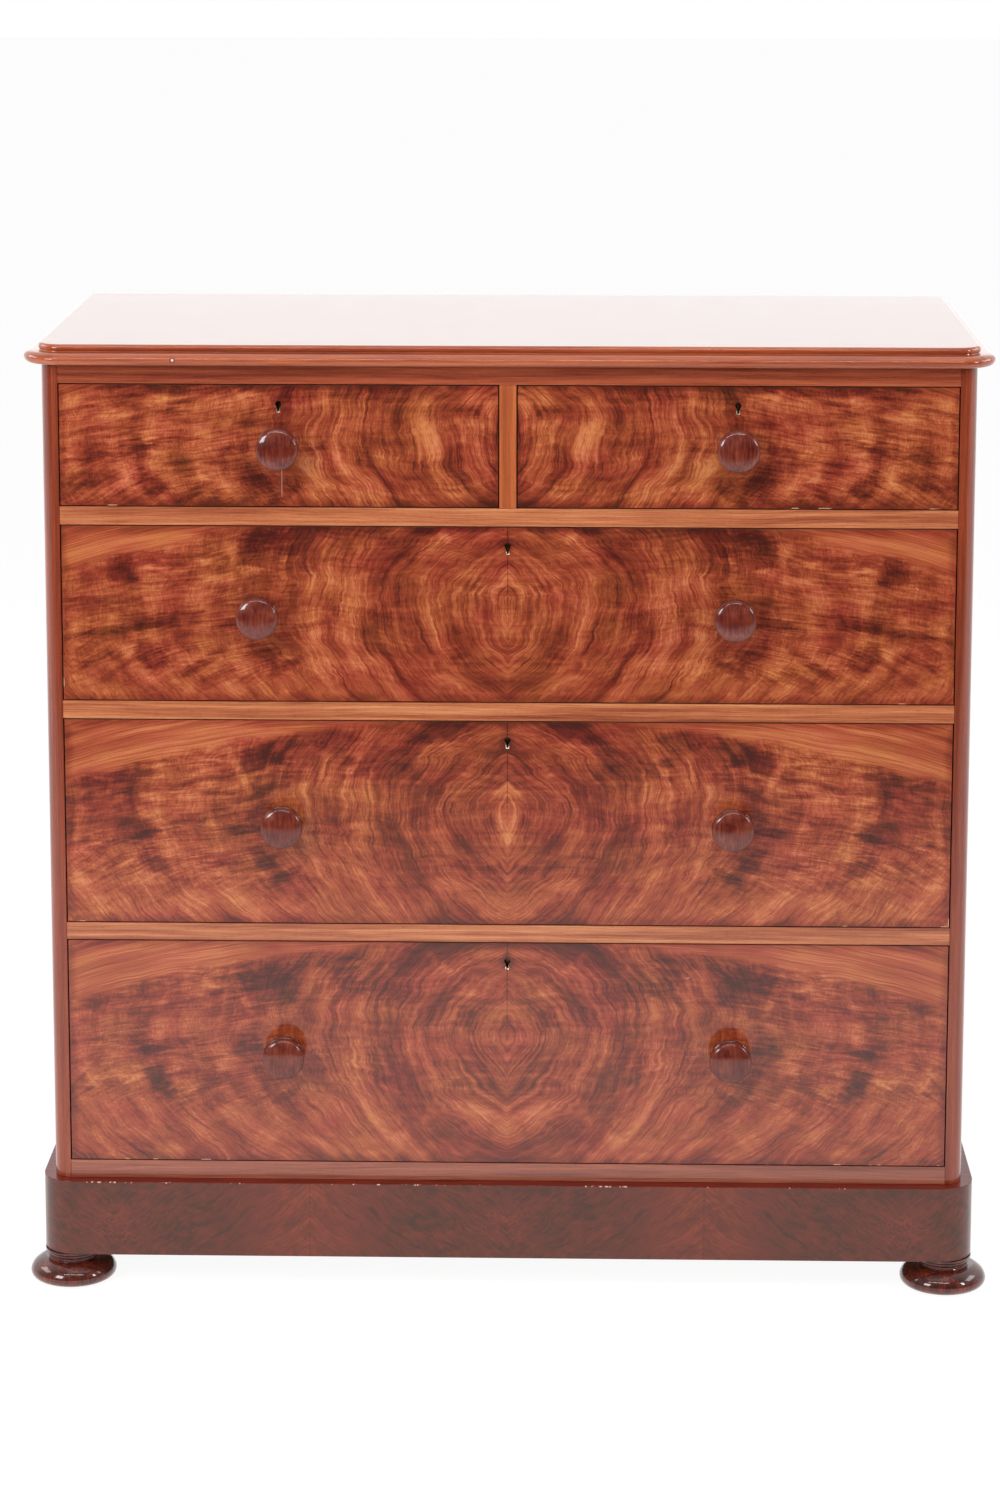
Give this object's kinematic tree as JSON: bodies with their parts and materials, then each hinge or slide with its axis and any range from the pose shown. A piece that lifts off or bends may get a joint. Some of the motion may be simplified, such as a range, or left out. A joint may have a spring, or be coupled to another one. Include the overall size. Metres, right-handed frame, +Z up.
{
  "type": "chest of drawers",
  "caption": "Mahogany chest of drawers, short drawers over graduated long ones, with turned knobs, locks, a moulded top, a plinth and bun feet.",
  "frame": {"origin": "on the floor, under the middle of the chest's bounding box", "axes": "+X to the right seen from the front, +Y to the back, +Z up; the drawers open along -Y"},
  "size_m": [1.217, 0.562, 1.2033],
  "materials": {
    "polished_mahogany": "polished straight-grained mahogany",
    "flame_veneer": "polished flame mahogany veneer",
    "plinth_veneer": "polished dark mahogany veneer",
    "turned_mahogany": "glossy dark red turned mahogany",
    "drawer_lining": "plain unpolished softwood",
    "carcass_pine": "rough sawn pine",
    "brass": "aged brass",
    "steel": "filed steel"
  },
  "bodies": {
    "case": {"top_board": "polished_mahogany", "left_side": "polished_mahogany", "right_side": "polished_mahogany", "top_rail": "polished_mahogany", "upper_drawer_rail": "polished_mahogany", "middle_drawer_rail": "polished_mahogany", "lower_drawer_rail": "polished_mahogany", "bottom_rail": "polished_mahogany", "centre_divider": "polished_mahogany", "centre_runner": "carcass_pine", "bottom_board": "carcass_pine", "back_panel": "carcass_pine", "plinth_frame": "plinth_veneer", "front_left_foot": "turned_mahogany", "front_right_foot": "turned_mahogany", "rear_left_foot": "turned_mahogany", "rear_right_foot": "turned_mahogany"},
    "short_left_drawer": {"short_left_drawer_front": "flame_veneer", "short_left_drawer_left_side": "drawer_lining", "short_left_drawer_right_side": "drawer_lining", "short_left_drawer_back": "drawer_lining", "short_left_drawer_bottom": "drawer_lining", "short_left_drawer_lock": "brass", "short_left_drawer_knob": "turned_mahogany"},
    "short_left_drawer_bolt": {"short_left_drawer_lock_bolt": "steel"},
    "short_right_drawer": {"short_right_drawer_front": "flame_veneer", "short_right_drawer_left_side": "drawer_lining", "short_right_drawer_right_side": "drawer_lining", "short_right_drawer_back": "drawer_lining", "short_right_drawer_bottom": "drawer_lining", "short_right_drawer_lock": "brass", "short_right_drawer_knob": "turned_mahogany"},
    "short_right_drawer_bolt": {"short_right_drawer_lock_bolt": "steel"},
    "top_long_drawer": {"top_long_drawer_front": "flame_veneer", "top_long_drawer_left_side": "drawer_lining", "top_long_drawer_right_side": "drawer_lining", "top_long_drawer_back": "drawer_lining", "top_long_drawer_bottom": "drawer_lining", "top_long_drawer_lock": "brass", "top_long_drawer_left_knob": "turned_mahogany", "top_long_drawer_right_knob": "turned_mahogany"},
    "top_long_drawer_bolt": {"top_long_drawer_lock_bolt": "steel"},
    "middle_long_drawer": {"middle_long_drawer_front": "flame_veneer", "middle_long_drawer_left_side": "drawer_lining", "middle_long_drawer_right_side": "drawer_lining", "middle_long_drawer_back": "drawer_lining", "middle_long_drawer_bottom": "drawer_lining", "middle_long_drawer_lock": "brass", "middle_long_drawer_left_knob": "turned_mahogany", "middle_long_drawer_right_knob": "turned_mahogany"},
    "middle_long_drawer_bolt": {"middle_long_drawer_lock_bolt": "steel"},
    "bottom_long_drawer": {"bottom_long_drawer_front": "flame_veneer", "bottom_long_drawer_left_side": "drawer_lining", "bottom_long_drawer_right_side": "drawer_lining", "bottom_long_drawer_back": "drawer_lining", "bottom_long_drawer_bottom": "drawer_lining", "bottom_long_drawer_lock": "brass", "bottom_long_drawer_left_knob": "turned_mahogany", "bottom_long_drawer_right_knob": "turned_mahogany"},
    "bottom_long_drawer_bolt": {"bottom_long_drawer_lock_bolt": "steel"}
  },
  "joints": [
    {"name": "short_left_drawer_slide", "type": "slide", "parent": "case", "child": "short_left_drawer", "axis": [0, -1, 0], "range_m": [0, 0.4]},
    {"name": "short_left_drawer_bolt_slide", "type": "slide", "parent": "short_left_drawer", "child": "short_left_drawer_bolt", "axis": [0, 0, 1], "range_m": [0, 0.006]},
    {"name": "short_right_drawer_slide", "type": "slide", "parent": "case", "child": "short_right_drawer", "axis": [0, -1, 0], "range_m": [0, 0.4]},
    {"name": "short_right_drawer_bolt_slide", "type": "slide", "parent": "short_right_drawer", "child": "short_right_drawer_bolt", "axis": [0, 0, 1], "range_m": [0, 0.006]},
    {"name": "top_long_drawer_slide", "type": "slide", "parent": "case", "child": "top_long_drawer", "axis": [0, -1, 0], "range_m": [0, 0.4]},
    {"name": "top_long_drawer_bolt_slide", "type": "slide", "parent": "top_long_drawer", "child": "top_long_drawer_bolt", "axis": [0, 0, 1], "range_m": [0, 0.006]},
    {"name": "middle_long_drawer_slide", "type": "slide", "parent": "case", "child": "middle_long_drawer", "axis": [0, -1, 0], "range_m": [0, 0.4]},
    {"name": "middle_long_drawer_bolt_slide", "type": "slide", "parent": "middle_long_drawer", "child": "middle_long_drawer_bolt", "axis": [0, 0, 1], "range_m": [0, 0.006]},
    {"name": "bottom_long_drawer_slide", "type": "slide", "parent": "case", "child": "bottom_long_drawer", "axis": [0, -1, 0], "range_m": [0, 0.4]},
    {"name": "bottom_long_drawer_bolt_slide", "type": "slide", "parent": "bottom_long_drawer", "child": "bottom_long_drawer_bolt", "axis": [0, 0, 1], "range_m": [0, 0.006]}
  ]
}
